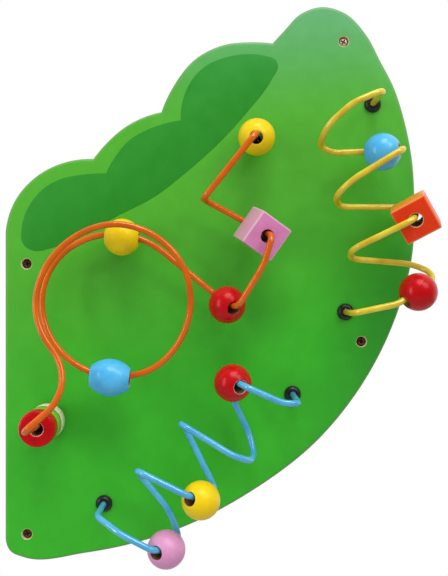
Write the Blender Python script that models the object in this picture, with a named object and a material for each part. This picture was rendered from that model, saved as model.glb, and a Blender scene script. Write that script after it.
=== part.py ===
# Activity wall panel: a scalloped wooden board that hangs flat on a wall, with three bent wires that stand
# out from its front. Wooden balls, cubes, a barrel and discs are threaded on the wires and travel along them.
#
# Frame: metres, +Z up, +X to the right as seen from the front. The board's back face lies in the plane Y = 0,
# against the wall, and its front faces -Y. The origin is the middle of the back face.

import math

import bmesh
import bpy
from mathutils import Matrix, Vector

# Driving sizes of the board.
BOARD_WIDTH = 0.342
BOARD_HEIGHT = 0.460
BOARD_THICKNESS = 0.015
FRONT_EDGE_ROUNDING = 0.003
BACK_EDGE_ROUNDING = 0.001
PAINT_THICKNESS = 0.0003

# Driving sizes of the wires. The reach is how far the outer strands stand off the board's front face.
WIRE_DIAMETER = 0.005
WIRE_REACH = 0.050
TIGHT_BEND = 0.009
RING_RADIUS = 0.060
RING_RISE = 0.038
RING_BOARD_GAP = 0.001

# Driving sizes of the beads.
BALL_DIAMETER = 0.030
CUBE_EDGE = 0.0290
CUBE_ROUNDING = 0.0012
BARREL_LENGTH = 0.0312
BARREL_DIAMETER = 0.030
BARREL_END_DIAMETER = 0.017
BARREL_HOLE_DIAMETER = 0.0120
DISC_DIAMETER = 0.029
DISC_ROUNDING = 0.0025
RED_DISC_THICKNESS = 0.013
LIME_DISC_THICKNESS = 0.015
NATURAL_DISC_THICKNESS = 0.013
BEAD_HOLE_DIAMETER = 0.0105
BEAD_HOLE_ROUNDING = 0.0006

# Driving sizes of the fittings.
COLLAR_DIAMETER = 0.014
COLLAR_DOME_HEIGHT = 0.004
COLLAR_CROWN_SHARE = 0.5
COLLAR_BARREL_DIAMETER = 0.009
COLLAR_BARREL_LENGTH = 0.008
WASHER_DIAMETER = 0.013
WASHER_THICKNESS = 0.0008
WASHER_DISH = 0.0008
WASHER_RECESS_DEPTH = 0.0035
WASHER_SIDE_ROOM = 0.001
WIRE_END_BEYOND_WASHER = 0.001
SCREW_HEAD_DIAMETER = 0.0070
SCREW_HEAD_HEIGHT = 0.0022
SCREW_SHANK_DIAMETER = 0.0038
SCREW_TIP_SHORT_OF_BACK = 0.001
SCREW_TIP_LENGTH = 0.003
CROSS_SLOT_WIDTH = 0.0009
CROSS_SLOT_LENGTH = 0.0040
CROSS_SLOT_DEPTH = 0.0013
SCREW_HOLE_DIAMETER = 0.0046
SCREW_RECESS_DIAMETER = 0.0078
SCREW_RECESS_DEPTH = 0.0035
SCREW_COUNTERSINK_DIAMETER = 0.0098
SCREW_COUNTERSINK_DEPTH = 0.0010

# Clearances.
SEAT_GAP = 0.0003
CUT_OVERRUN = 0.002

# Facet counts and angle steps.
BALL_SIDES = 16
BALL_RINGS = 8
TURNED_SIDES = 20
SMALL_SIDES = 14
BEND_STEP = math.radians(22.5)
RING_STEP = math.radians(11)
HALF = 0.5
QUARTER_TURN = math.pi / 2
FULL_TURN = 2 * math.pi

# The board's outline as open stretches that meet at the sharp notches between the scallops, in shares of its
# width and height from the bottom left. The last stretch ends at the straight left edge, which closes it.
OUTLINE_SHARES = (
    ((0.000, 0.591), (0.024, 0.649), (0.083, 0.696), (0.138, 0.716), (0.215, 0.724)),
    ((0.215, 0.724), (0.253, 0.757), (0.291, 0.781), (0.330, 0.797), (0.381, 0.809)),
    ((0.381, 0.809), (0.406, 0.850), (0.469, 0.908), (0.534, 0.931), (0.597, 0.936), (0.653, 0.934)),
    ((0.653, 0.934), (0.684, 0.959), (0.719, 0.986), (0.774, 1.000), (0.829, 0.989), (0.882, 0.949),
     (0.916, 0.902), (0.948, 0.856), (0.976, 0.791), (0.993, 0.727), (1.000, 0.649), (0.993, 0.540),
     (0.962, 0.452), (0.880, 0.323), (0.757, 0.208), (0.604, 0.121), (0.429, 0.053), (0.198, 0.008),
     (0.043, 0.000), (0.013, 0.010), (0.000, 0.033)),
)

# The darker painted patch that follows the scallops, in the same shares.
PATCH_SHARES = (
    ((0.040, 0.587), (0.048, 0.620), (0.069, 0.649), (0.094, 0.669), (0.138, 0.687), (0.184, 0.694),
     (0.247, 0.697)),
    ((0.247, 0.697), (0.274, 0.732), (0.302, 0.756), (0.351, 0.777), (0.429, 0.793)),
    ((0.429, 0.793), (0.441, 0.845), (0.459, 0.869), (0.493, 0.893), (0.534, 0.906), (0.586, 0.913),
     (0.635, 0.910), (0.661, 0.902), (0.666, 0.892), (0.652, 0.869), (0.586, 0.804), (0.534, 0.761),
     (0.441, 0.698), (0.364, 0.654), (0.283, 0.623), (0.120, 0.563), (0.069, 0.557), (0.048, 0.566),
     (0.040, 0.587)),
)
OUTLINE_STEP_SHARE = 0.030

# The four wall screws, in the same shares.
SCREW_SHARES = ((0.826, 0.936), (0.053, 0.533), (0.869, 0.392), (0.054, 0.043))

# Each wire is bent at corners. A row gives the corner's place in shares of the board's width and height, its
# height off the front face as a share of the wires' reach, and its bend radius as a share of the tight bend.
YELLOW_WIRE_SHARES = (
    (0.896, 0.822, 0.00, 0.0),
    (0.896, 0.822, 1.00, 1.0),
    (0.825, 0.800, 1.00, 4.0),
    (0.765, 0.761, 0.92, 2.5),
    (0.757, 0.734, 0.56, 1.3),
    (0.795, 0.727, 0.36, 1.3),
    (0.948, 0.728, 0.60, 0.7),
    (0.939, 0.723, 1.00, 0.9),
    (0.822, 0.670, 1.00, 3.5),
    (0.788, 0.644, 0.80, 1.5),
    (0.807, 0.631, 0.44, 1.3),
    (0.988, 0.632, 0.24, 0.7),
    (0.955, 0.601, 1.18, 0.9),
    (0.824, 0.554, 0.92, 1.3),
    (0.830, 0.540, 0.48, 1.2),
    (0.987, 0.531, 0.34, 3.0),
    (1.033, 0.508, 0.62, 1.3),
    (0.928, 0.462, 0.92, 1.5),
    (0.830, 0.446, 0.84, 1.0),
    (0.830, 0.446, 0.00, 0.0),
)
BLUE_WIRE_SHARES = (
    (0.701, 0.297, 0.00, 0.0),
    (0.701, 0.297, 1.12, 1.0),
    (0.666, 0.298, 1.12, 4.0),
    (0.583, 0.325, 1.12, 1.1),
    (0.527, 0.337, 0.32, 1.0),
    (0.592, 0.236, 0.36, 3.5),
    (0.606, 0.198, 0.48, 1.2),
    (0.593, 0.199, 1.00, 1.2),
    (0.552, 0.211, 1.10, 3.5),
    (0.435, 0.264, 1.08, 0.9),
    (0.442, 0.246, 0.44, 1.0),
    (0.526, 0.123, 0.60, 1.0),
    (0.455, 0.147, 1.24, 1.1),
    (0.339, 0.185, 1.08, 0.9),
    (0.335, 0.163, 0.44, 1.0),
    (0.404, 0.102, 0.46, 6.0),
    (0.435, 0.0445, 0.49, 1.0),
    (0.378, 0.0525, 1.14, 1.1),
    (0.301, 0.078, 1.04, 4.0),
    (0.242, 0.099, 0.76, 1.0),
    (0.242, 0.099, 0.00, 0.0),
)
ORANGE_WIRE_START_SHARES = (
    (0.610, 0.758, 0.00, 0.0),
    (0.610, 0.758, 0.12, 2.0),
    (0.608, 0.752, 0.92, 0.8),
    (0.488, 0.640, 0.92, 0.7),
    (0.486, 0.645, 0.36, 0.7),
    (0.614, 0.594, 0.32, 0.8),
    (0.643, 0.576, 1.08, 0.8),
    (0.622, 0.526, 1.10, 3.5),
    (0.565, 0.456, 0.94, 1.0),
    (0.524, 0.471, 0.28, 0.9),
)
ORANGE_WIRE_END_SHARES = (
    (0.208, 0.326, 1.26, 3.9),
    (0.097, 0.2545, 1.60, 0.8),
    (0.108, 0.256, 1.00, 2.0),
    (0.108, 0.256, 0.00, 0.0),
)
LONGEST_BEND_SHARE = 0.98

# The six places where a wire enters the board, in the order of their names.
WIRE_END_SHARES = tuple(
    rows[0][:2] for rows in (
        YELLOW_WIRE_SHARES, YELLOW_WIRE_SHARES[::-1], BLUE_WIRE_SHARES, BLUE_WIRE_SHARES[::-1],
        ORANGE_WIRE_START_SHARES, ORANGE_WIRE_END_SHARES[::-1],
    )
)
WIRE_END_NAMES = (
    "yellow_wire_upper", "yellow_wire_lower", "blue_wire_right", "blue_wire_left",
    "orange_wire_upper", "orange_wire_lower",
)

# The ring between those two parts: its centre, then turns from due right against its radius. It is hand bent,
# so its radius wanders. Its two beads sit at the turns named below.
RING_CENTRE_SHARES = (0.285, 0.464)
RING_RADIUS_SHARES = (
    (0.140, 0.905), (0.203, 0.903), (0.242, 0.920), (0.286, 0.936), (0.328, 0.958), (0.392, 0.998),
    (0.472, 1.015), (0.550, 1.000), (0.606, 0.990), (0.692, 0.977), (0.783, 0.985), (0.825, 0.993),
    (0.920, 0.976), (1.006, 0.983), (1.078, 1.006), (1.186, 1.014), (1.242, 1.020), (1.333, 0.995),
    (1.411, 0.990), (1.503, 0.992), (1.597, 0.965),
)
RING_BALL_TURN_SHARE = 0.2425
RING_BARREL_TURN_SHARE = 0.736
RING_BALL_DROP_SHARE = 1.0
RING_BARREL_DROP_SHARE = 0.5

# Threaded beads: name, shape, colour, wire, the run between two corners that it sits on, its place along the
# run as a share, and the turn about its hole in degrees.
THREADED_BEAD_SHARES = (
    ("yellow_wire_blue_ball", "ball", "sky_blue", "yellow", 5, 0.718, 0),
    ("yellow_wire_orange_cube", "cube", "orange_red", "yellow", 11, 0.606, 28),
    ("yellow_wire_red_ball", "ball", "red", "yellow", 16, 0.524, 0),
    ("blue_wire_red_ball", "ball", "red", "blue", 3, 0.515, 0),
    ("blue_wire_yellow_ball", "ball", "yellow", "blue", 11, 0.600, 0),
    ("blue_wire_pink_ball", "ball", "pink", "blue", 16, 0.551, 0),
    ("orange_wire_pink_cube", "cube", "pink", "orange", 5, 0.432, -33),
    ("orange_wire_red_ball", "ball", "red", "orange", 8, 0.549, 0),
)

# How each bead's hole hangs off the wire's line at the run's first and last end: sideways, upwards and
# outwards, in shares of the free play.
LEAN_SHARES = {
    "yellow_wire_blue_ball": ((0.09, -0.92, -0.36), (-0.28, 0.03, 1.24)),
    "yellow_wire_orange_cube": ((0.67, -0.74, -0.06), (0.76, -0.47, 0.04)),
    "yellow_wire_red_ball": ((0.20, 0.23, 0.80), (0.28, -0.81, -0.48)),
    "blue_wire_red_ball": ((-0.02, -0.98, -0.13), (0.08, -0.99, -0.17)),
    "blue_wire_yellow_ball": ((-0.11, -0.74, 0.17), (-0.29, -0.90, 0.09)),
    "blue_wire_pink_ball": ((-0.16, -0.39, -0.05), (-0.16, -0.81, 0.00)),
    "orange_wire_pink_cube": ((-0.62, -0.48, 0.06), (-0.58, -0.64, 0.01)),
    "orange_wire_red_ball": ((-0.11, -0.90, -0.14), (-0.15, -0.74, -0.09)),
    "orange_wire_yellow_ball": ((0.60, 0.60, 0.05), (0.04, -0.98, -0.07)),
}
SEATED_BALL_RISE_SHARE = 0.40

COLOURS = {
    "board_green": (0.045, 0.362, 0.026, 1),
    "patch_green": (0.026, 0.262, 0.026, 1),
    "orange": (0.745, 0.114, 0.013, 1),
    "orange_red": (0.753, 0.061, 0.007, 1),
    "yellow": (0.913, 0.604, 0.013, 1),
    "wire_yellow": (0.716, 0.546, 0.032, 1),
    "wire_blue": (0.091, 0.429, 0.716, 1),
    "sky_blue": (0.080, 0.402, 0.753, 1),
    "red": (0.578, 0.005, 0.013, 1),
    "pink": (0.753, 0.262, 0.515, 1),
    "lime": (0.141, 0.402, 0.026, 1),
    "natural_wood": (0.578, 0.515, 0.305, 1),
    "black_plastic": (0.012, 0.012, 0.013, 1),
    "steel": (0.45, 0.45, 0.45, 1),
    "copper_steel": (0.33, 0.13, 0.08, 1),
}
METALS = ("steel", "copper_steel")


def clear_scene():
    for obj in list(bpy.data.objects):
        bpy.data.objects.remove(obj, do_unlink=True)


def finish_colour(colour):
    """The material of that name, made once."""
    if colour in bpy.data.materials:
        return bpy.data.materials[colour]
    material = bpy.data.materials.new(colour)
    material.use_nodes = True
    shader = material.node_tree.nodes["Principled BSDF"]
    shader.inputs["Base Color"].default_value = COLOURS[colour]
    shader.inputs["Roughness"].default_value = 0.35
    shader.inputs["Metallic"].default_value = 1.0 if colour in METALS else 0.0
    return material


def place(name, mesh, colour, where=None):
    """Put a mesh into the scene as one named sub-part."""
    obj = bpy.data.objects.new(name, mesh)
    bpy.context.collection.objects.link(obj)
    mesh.materials.append(finish_colour(colour))
    if where is not None:
        obj.matrix_world = where
    return obj


def as_cutter(obj):
    obj.hide_render = True
    obj.display_type = "WIRE"
    return obj


def combine(obj, other, operation):
    modifier = obj.modifiers.new(operation.lower(), "BOOLEAN")
    modifier.operation = operation
    modifier.solver = "EXACT"
    modifier.object = as_cutter(other)


def shaded(mesh):
    mesh.shade_smooth()
    mesh.set_sharp_from_angle(angle=math.radians(35))
    return mesh


def turned(name, profile, sides, closed=True):
    """A turned solid about local Z. The profile holds (radius, height) pairs and runs round the section."""
    work = bmesh.new()
    verts = [work.verts.new((radius, 0, height)) for radius, height in profile]
    pairs = list(zip(verts, verts[1:]))
    if closed:
        pairs.append((verts[-1], verts[0]))
    edges = [work.edges.new(pair) for pair in pairs]
    bmesh.ops.spin(work, geom=verts + edges, cent=(0, 0, 0), axis=(0, 0, 1), angle=FULL_TURN,
                   steps=sides, use_merge=True)
    smallest = min(BACK_EDGE_ROUNDING, SEAT_GAP) / 30
    bmesh.ops.remove_doubles(work, verts=work.verts, dist=smallest)
    bmesh.ops.recalc_face_normals(work, faces=work.faces)
    mesh = bpy.data.meshes.new(name)
    work.to_mesh(mesh)
    work.free()
    return shaded(mesh)


def outer_flats(radius, sides):
    """The corner radius of a regular polygon whose flats lie at the given radius."""
    return radius / math.cos(math.pi / sides)


def spot(across, up, height):
    """A point from shares of the board's width and height, and a height off its front face."""
    return Vector(((across - HALF) * BOARD_WIDTH, -BOARD_THICKNESS - height, (up - HALF) * BOARD_HEIGHT))


def facing_out(across, up, height):
    """A frame on the board whose local Z points out of the front face."""
    return Matrix.Translation(spot(across, up, height)) @ Matrix.Rotation(QUARTER_TURN, 4, "X")


def along(direction, centre, roll):
    """A frame at centre whose local Z points along direction, and whose local Y leans towards +Z."""
    z_axis = direction.normalized()
    x_axis = Vector((0, 0, 1)).cross(z_axis).normalized()
    y_axis = z_axis.cross(x_axis)
    turn = Matrix((x_axis, y_axis, z_axis)).transposed().to_4x4()
    return Matrix.Translation(centre) @ turn @ Matrix.Rotation(roll, 4, "Z")


def smooth_stretch(knots, step):
    """Points along a curve through open knots: cubic pieces that share their slope at each knot."""
    lengths = [(b - a).length for a, b in zip(knots, knots[1:])]
    slopes = [(b - a) / length for a, b, length in zip(knots, knots[1:], lengths)]
    inner = [
        (slopes[i] * lengths[i - 1] + slopes[i - 1] * lengths[i]) / (lengths[i - 1] + lengths[i])
        for i in range(1, len(slopes))
    ]
    tangents = [slopes[0] * 2 - inner[0]] + inner + [slopes[-1] * 2 - inner[-1]]
    points = [knots[0]]
    for i, length in enumerate(lengths):
        count = max(2, math.ceil(length / step))
        for k in range(1, count + 1):
            t = k / count
            points.append(
                knots[i] * (2 * t**3 - 3 * t**2 + 1)
                + tangents[i] * length * (t**3 - 2 * t**2 + t)
                + knots[i + 1] * (3 * t**2 - 2 * t**3)
                + tangents[i + 1] * length * (t**3 - t**2)
            )
    return points


def closed_outline(stretches):
    """One closed outline in the board's plane, from stretches given as shares."""
    step = OUTLINE_STEP_SHARE * BOARD_WIDTH
    outline = []
    for stretch in stretches:
        knots = [Vector(((a - HALF) * BOARD_WIDTH, (b - HALF) * BOARD_HEIGHT)) for a, b in stretch]
        outline += smooth_stretch(knots, step)[:-1]
    last = stretches[-1][-1]
    if last != stretches[0][0]:
        outline.append(Vector(((last[0] - HALF) * BOARD_WIDTH, (last[1] - HALF) * BOARD_HEIGHT)))
    return outline


def drawn_in(outline, distance):
    """The clockwise outline moved towards its inside by a distance."""
    moved = []
    for before, point, after in zip(outline[-1:] + outline[:-1], outline, outline[1:] + outline[:1]):
        first = (point - before).normalized()
        second = (after - point).normalized()
        inward = Vector((first.y + second.y, -first.x - second.x)).normalized()
        across = inward.dot(Vector((first.y, -first.x)))
        moved.append(point + inward * (distance / max(across, HALF)))
    return moved


def slab(name, outline, rings):
    """A solid through rings of (distance drawn in, Y), from the back to the front, closed by flat caps."""
    work = bmesh.new()
    loops = []
    for distance, depth in rings:
        loops.append([work.verts.new((p.x, depth, p.y)) for p in drawn_in(outline, distance)])
    for low, high in zip(loops, loops[1:]):
        for i, vert in enumerate(low):
            work.faces.new((low[i - 1], vert, high[i], high[i - 1]))
    work.faces.new(loops[0])
    work.faces.new(loops[-1])
    bmesh.ops.recalc_face_normals(work, faces=work.faces)
    mesh = bpy.data.meshes.new(name)
    work.to_mesh(mesh)
    work.free()
    return mesh


def wire_hole_cutter():
    """The stepped hole for a wire end: room for the collar's barrel, and a washer recess at the back."""
    bore = outer_flats(COLLAR_BARREL_DIAMETER / 2 + SEAT_GAP, SMALL_SIDES)
    recess = outer_flats(WASHER_DIAMETER / 2 + WASHER_SIDE_ROOM, SMALL_SIDES)
    back = -BOARD_THICKNESS
    return turned("wire_hole", (
        (0, CUT_OVERRUN), (bore, CUT_OVERRUN), (bore, back + WASHER_RECESS_DEPTH),
        (recess, back + WASHER_RECESS_DEPTH), (recess, back - CUT_OVERRUN), (0, back - CUT_OVERRUN),
    ), SMALL_SIDES, closed=False)


def screw_hole_cutter():
    """The stepped hole for a wall screw: a countersunk rim, a recess for the head and a through hole."""
    rim = SCREW_COUNTERSINK_DIAMETER / 2
    recess = outer_flats(SCREW_RECESS_DIAMETER / 2, SMALL_SIDES)
    bore = outer_flats(SCREW_HOLE_DIAMETER / 2, SMALL_SIDES)
    slope = (rim - recess) / SCREW_COUNTERSINK_DEPTH
    back = -BOARD_THICKNESS - CUT_OVERRUN
    return turned("screw_hole", (
        (0, CUT_OVERRUN), (rim + slope * CUT_OVERRUN, CUT_OVERRUN), (recess, -SCREW_COUNTERSINK_DEPTH),
        (recess, -SCREW_RECESS_DEPTH), (bore, -SCREW_RECESS_DEPTH), (bore, back), (0, back),
    ), SMALL_SIDES, closed=False)


def make_board():
    outline = closed_outline(OUTLINE_SHARES)
    front = -BOARD_THICKNESS
    round_45 = math.sin(math.pi / 4)
    mesh = slab("board", outline, (
        (BACK_EDGE_ROUNDING, 0),
        (0, -BACK_EDGE_ROUNDING),
        (0, front + FRONT_EDGE_ROUNDING),
        (FRONT_EDGE_ROUNDING * (1 - round_45), front + FRONT_EDGE_ROUNDING * (1 - round_45)),
        (FRONT_EDGE_ROUNDING, front),
    ))
    board = place("board", mesh, "board_green")
    mesh.materials.append(finish_colour("patch_green"))
    hole = wire_hole_cutter()
    for number, (across, up) in enumerate(WIRE_END_SHARES, 1):
        combine(board, place(f"wire_hole_{number}", hole, "board_green", facing_out(across, up, 0)),
                "DIFFERENCE")
    hole = screw_hole_cutter()
    for number, (across, up) in enumerate(SCREW_SHARES, 1):
        combine(board, place(f"screw_hole_{number}", hole, "board_green", facing_out(across, up, 0)),
                "DIFFERENCE")
    patch = slab("patch", closed_outline(PATCH_SHARES), (
        (0, front + FRONT_EDGE_ROUNDING),
        (0, front - PAINT_THICKNESS),
    ))
    patch_object = place("patch_paint", patch, "board_green")
    patch.materials.append(finish_colour("patch_green"))
    for face in patch.polygons:
        face.material_index = 1
    combine(board, patch_object, "UNION")


def make_collars():
    """Domed plastic collars, pressed into the board's front, that guide the wire ends."""
    bore = outer_flats(WIRE_DIAMETER / 2 + SEAT_GAP, SMALL_SIDES)
    rim = COLLAR_DIAMETER / 2
    crown = rim * COLLAR_CROWN_SHARE
    barrel = COLLAR_BARREL_DIAMETER / 2
    dome = []
    for degrees in (0, 30, 60, 90):
        angle = math.radians(degrees)
        height = SEAT_GAP + (COLLAR_DOME_HEIGHT - SEAT_GAP) * math.sin(angle)
        dome.append((crown + (rim - crown) * math.cos(angle), height))
    profile = dome + [(bore, COLLAR_DOME_HEIGHT), (bore, -COLLAR_BARREL_LENGTH),
                      (barrel, -COLLAR_BARREL_LENGTH), (barrel, SEAT_GAP)]
    mesh = turned("collar", profile, SMALL_SIDES)
    for name, (across, up) in zip(WIRE_END_NAMES, WIRE_END_SHARES):
        place(f"{name}_collar", mesh, "black_plastic", facing_out(across, up, 0))


def make_washers():
    """Dished push-on washers that lock each wire end in its recess in the back."""
    bore = outer_flats(WIRE_DIAMETER / 2 + SEAT_GAP, SMALL_SIDES)
    rim = WASHER_DIAMETER / 2
    floor = WASHER_RECESS_DEPTH - BOARD_THICKNESS - SEAT_GAP
    mesh = turned("washer", (
        (rim, floor), (bore, floor - WASHER_DISH), (bore, floor - WASHER_DISH - WASHER_THICKNESS),
        (rim, floor - WASHER_THICKNESS),
    ), SMALL_SIDES)
    for name, (across, up) in zip(WIRE_END_NAMES, WIRE_END_SHARES):
        place(f"{name}_push_washer", mesh, "steel", facing_out(across, up, 0))


def make_wall_screws():
    """Round-headed wall screws with a cross recess, in the board's four corners."""
    seat = -SCREW_RECESS_DEPTH + SEAT_GAP
    rim = SCREW_HEAD_DIAMETER / 2
    shank = SCREW_SHANK_DIAMETER / 2
    tip = -BOARD_THICKNESS + SCREW_TIP_SHORT_OF_BACK
    side = SCREW_HEAD_HEIGHT / 3
    mesh = turned("wall_screw", (
        (0, seat + SCREW_HEAD_HEIGHT), (rim * HALF, seat + SCREW_HEAD_HEIGHT - side / 3),
        (rim, seat + side), (rim, seat), (shank, seat), (shank, tip + SCREW_TIP_LENGTH), (0, tip),
    ), SMALL_SIDES, closed=False)
    slot = bpy.data.meshes.new("cross_slot")
    work = bmesh.new()
    bmesh.ops.create_cube(work, size=1)
    bmesh.ops.scale(work, vec=(CROSS_SLOT_LENGTH, CROSS_SLOT_WIDTH, CROSS_SLOT_DEPTH * 2),
                    verts=work.verts)
    work.to_mesh(slot)
    work.free()
    for number, (across, up) in enumerate(SCREW_SHARES, 1):
        screw = place(f"wall_screw_{number}", mesh, "copper_steel", facing_out(across, up, 0))
        top = facing_out(across, up, seat + SCREW_HEAD_HEIGHT)
        for arm, angle in (("a", math.pi / 4), ("b", math.pi * 3 / 4)):
            turn = Matrix.Rotation(angle, 4, "Z")
            combine(screw, place(f"cross_{number}{arm}", slot, "steel", top @ turn), "DIFFERENCE")


def bent_route(corners):
    """Points along straight runs between (corner, bend radius) pairs, joined by round bends."""
    places = [corner for corner, _ in corners]
    runs = [after - before for before, after in zip(places, places[1:])]
    turns = [0] + [before.angle(after) for before, after in zip(runs, runs[1:])] + [0]
    trims = [radius * math.tan(turn / 2) for (_, radius), turn in zip(corners, turns)]
    room = [
        min(1, LONGEST_BEND_SHARE * run.length / max(first + last, SEAT_GAP))
        for run, first, last in zip(runs, trims, trims[1:])
    ]
    points = [places[0]]
    for i in range(1, len(places) - 1):
        trim = trims[i] * min(room[i - 1], room[i])
        radius = trim / math.tan(turns[i] / 2)
        incoming = runs[i - 1].normalized()
        outgoing = runs[i].normalized()
        inward = (outgoing - incoming * incoming.dot(outgoing)).normalized()
        start = places[i] - incoming * trim
        steps = max(2, math.ceil(turns[i] / BEND_STEP))
        for k in range(steps + 1):
            angle = turns[i] * k / steps
            points.append(start + (incoming * math.sin(angle) + inward * (1 - math.cos(angle))) * radius)
    points.append(places[-1])
    return points


def corner_rows(rows):
    """Corners of a wire as (point, bend radius) pairs, from rows of shares."""
    return [(spot(across, up, out * WIRE_REACH), bend * TIGHT_BEND) for across, up, out, bend in rows]


def wire_end(across, up):
    """Where a wire stops, just behind its washer."""
    behind = WASHER_RECESS_DEPTH - SEAT_GAP - WASHER_DISH - WASHER_THICKNESS - WIRE_END_BEYOND_WASHER
    return spot(across, up, behind - BOARD_THICKNESS)


def ring_knots():
    """The ring's radius against its turns, as knots of a smooth curve."""
    return [Vector((turns, radius)) for turns, radius in RING_RADIUS_SHARES]


def ring_point(turns, radius_share):
    """A point of the rising ring. It runs level where its two beads sit and climbs between them."""
    centre = spot(*RING_CENTRE_SHARES, 0)
    first, last = RING_RADIUS_SHARES[0][0], RING_RADIUS_SHARES[-1][0]
    angle = turns * FULL_TURN
    level = math.sin(2 * FULL_TURN * (turns - RING_BALL_TURN_SHARE)) / (2 * FULL_TURN)
    height = BALL_DIAMETER / 2 + RING_BOARD_GAP + RING_RISE * (turns - first - level) / (last - first)
    radius = RING_RADIUS * radius_share
    return centre + Vector((math.cos(angle) * radius, -height, math.sin(angle) * radius))


def ring_route():
    """Pairs of turns and point along the ring."""
    curve = smooth_stretch(ring_knots(), RING_STEP / FULL_TURN)
    return [(knot.x, ring_point(knot.x, knot.y)) for knot in curve]


def ring_place(turns):
    """The point and the direction of the ring at the given turns."""
    route = ring_route()
    for (before, start), (after, finish) in zip(route, route[1:]):
        if before <= turns <= after:
            return start.lerp(finish, (turns - before) / (after - before)), finish - start
    return route[0][1], route[1][1] - route[0][1]


def make_wire(name, points, colour):
    curve = bpy.data.curves.new(name, "CURVE")
    curve.dimensions = "3D"
    spline = curve.splines.new("POLY")
    spline.points.add(len(points) - 1)
    for spline_point, point in zip(spline.points, points):
        spline_point.co = (*point, 1)
    curve.bevel_depth = WIRE_DIAMETER / 2
    curve.bevel_resolution = 2
    curve.use_fill_caps = True
    curve.materials.append(finish_colour(colour))
    wire = bpy.data.objects.new(name, curve)
    bpy.context.collection.objects.link(wire)


def make_wires():
    for name, rows, colour in (
        ("yellow_wire", YELLOW_WIRE_SHARES, "wire_yellow"),
        ("blue_wire", BLUE_WIRE_SHARES, "wire_blue"),
    ):
        corners = corner_rows(rows)
        corners[0] = (wire_end(*rows[0][:2]), 0)
        corners[-1] = (wire_end(*rows[-1][:2]), 0)
        make_wire(name, bent_route(corners), colour)
    ring = [point for _, point in ring_route()]
    before = corner_rows(ORANGE_WIRE_START_SHARES)
    before[0] = (wire_end(*ORANGE_WIRE_START_SHARES[0][:2]), 0)
    after = corner_rows(ORANGE_WIRE_END_SHARES)
    after[-1] = (wire_end(*ORANGE_WIRE_END_SHARES[-1][:2]), 0)
    points = bent_route(before + [(ring[0], 0)]) + ring[1:-1] + bent_route([(ring[-1], 0)] + after)
    make_wire("orange_wire", points, "orange")


def hole_edge(outer_half, diameter=BEAD_HOLE_DIAMETER):
    """The rounded rim of a bead's hole on one flat end, as (radius, height) pairs, from outside to inside."""
    bore = outer_flats(diameter / 2, BALL_SIDES)
    return [(bore + BEAD_HOLE_ROUNDING, outer_half), (bore, outer_half - BEAD_HOLE_ROUNDING)]


def ball_mesh():
    """A turned ball with a through hole."""
    radius = BALL_DIAMETER / 2
    rim = hole_edge(0)[0][0]
    top = math.asin(rim / radius)
    sphere = []
    for k in range(BALL_RINGS + 1):
        angle = top + (math.pi - 2 * top) * k / BALL_RINGS
        sphere.append((radius * math.sin(angle), radius * math.cos(angle)))
    half_hole = radius * math.cos(top)
    bore = hole_edge(half_hole)[1]
    return turned("ball", sphere + [(bore[0], -bore[1]), bore], BALL_SIDES)


def half_hole_length(shape):
    """Half the length of a bead's hole, from flat end to flat end."""
    if shape == "ball":
        rim = hole_edge(0)[0][0]
        return math.sqrt((BALL_DIAMETER / 2) ** 2 - rim**2)
    return {"cube": CUBE_EDGE / 2, "barrel": BARREL_LENGTH / 2}[shape]


def barrel_mesh():
    """A bellied bead: flat ends, and a belly that follows half an ellipse on top of the end's radius."""
    half = BARREL_LENGTH / 2
    end = BARREL_END_DIAMETER / 2
    belly = BARREL_DIAMETER / 2 - end
    outside = [
        (end + belly * math.sin(math.pi * k / BALL_RINGS), half * math.cos(math.pi * k / BALL_RINGS))
        for k in range(BALL_RINGS + 1)
    ]
    top = hole_edge(half, BARREL_HOLE_DIAMETER)
    bottom = [(radius, -height) for radius, height in top]
    return turned("barrel", outside + bottom + top[::-1], BALL_SIDES)


def disc_mesh(name, thickness):
    """A flat turned bead with rounded rims. Its local Z = 0 is the face nearer the board."""
    rim = DISC_DIAMETER / 2
    outside = []
    for degrees in (0, 45, 90):
        angle = math.radians(degrees)
        inset = DISC_ROUNDING * (1 - math.sin(angle))
        outside.append((rim - inset, DISC_ROUNDING * (1 - math.cos(angle))))
    mirrored = [(radius, thickness - height) for radius, height in reversed(outside)]
    bore = hole_edge(0)
    inner_low = (bore[1][0], -bore[1][1])
    inner_high = (bore[1][0], thickness + bore[1][1])
    return turned(name, outside + mirrored + [(bore[0][0], thickness), inner_high, inner_low, bore[0]],
                  TURNED_SIDES)


def cube_mesh():
    work = bmesh.new()
    bmesh.ops.create_cube(work, size=CUBE_EDGE)
    bmesh.ops.bevel(work, geom=list(work.edges), offset=CUBE_ROUNDING, segments=2, profile=0.5,
                    affect="EDGES")
    mesh = bpy.data.meshes.new("cube")
    work.to_mesh(mesh)
    work.free()
    return shaded(mesh)


def cube_hole_mesh():
    """The cutter for a cube's hole, flared at both faces."""
    half = CUBE_EDGE / 2
    rim, bore = hole_edge(half)
    flare = (rim[0] + CUT_OVERRUN, half + CUT_OVERRUN)
    return turned("cube_hole", (
        (0, flare[1]), flare, bore, (bore[0], -bore[1]), (flare[0], -flare[1]), (0, -flare[1]),
    ), BALL_SIDES, closed=False)


def free_play():
    """How far a bead's hole can stand off centre before it touches the wire."""
    return (BEAD_HOLE_DIAMETER - WIRE_DIAMETER) / 2 - SEAT_GAP


def hung_frame(middle, direction, half_length, leans, roll):
    """The frame of a bead on a wire that passes through middle, with its hole leaning on the wire."""
    direction = direction.normalized()
    offsets = []
    for sideways, upwards, outwards in leans:
        offsets.append(Vector((sideways, -outwards, upwards)) * free_play())
    centre = middle + (offsets[0] + offsets[1]) * HALF
    axis = direction * half_length * 2 + offsets[1] - offsets[0]
    return along(axis, centre, roll)


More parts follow.
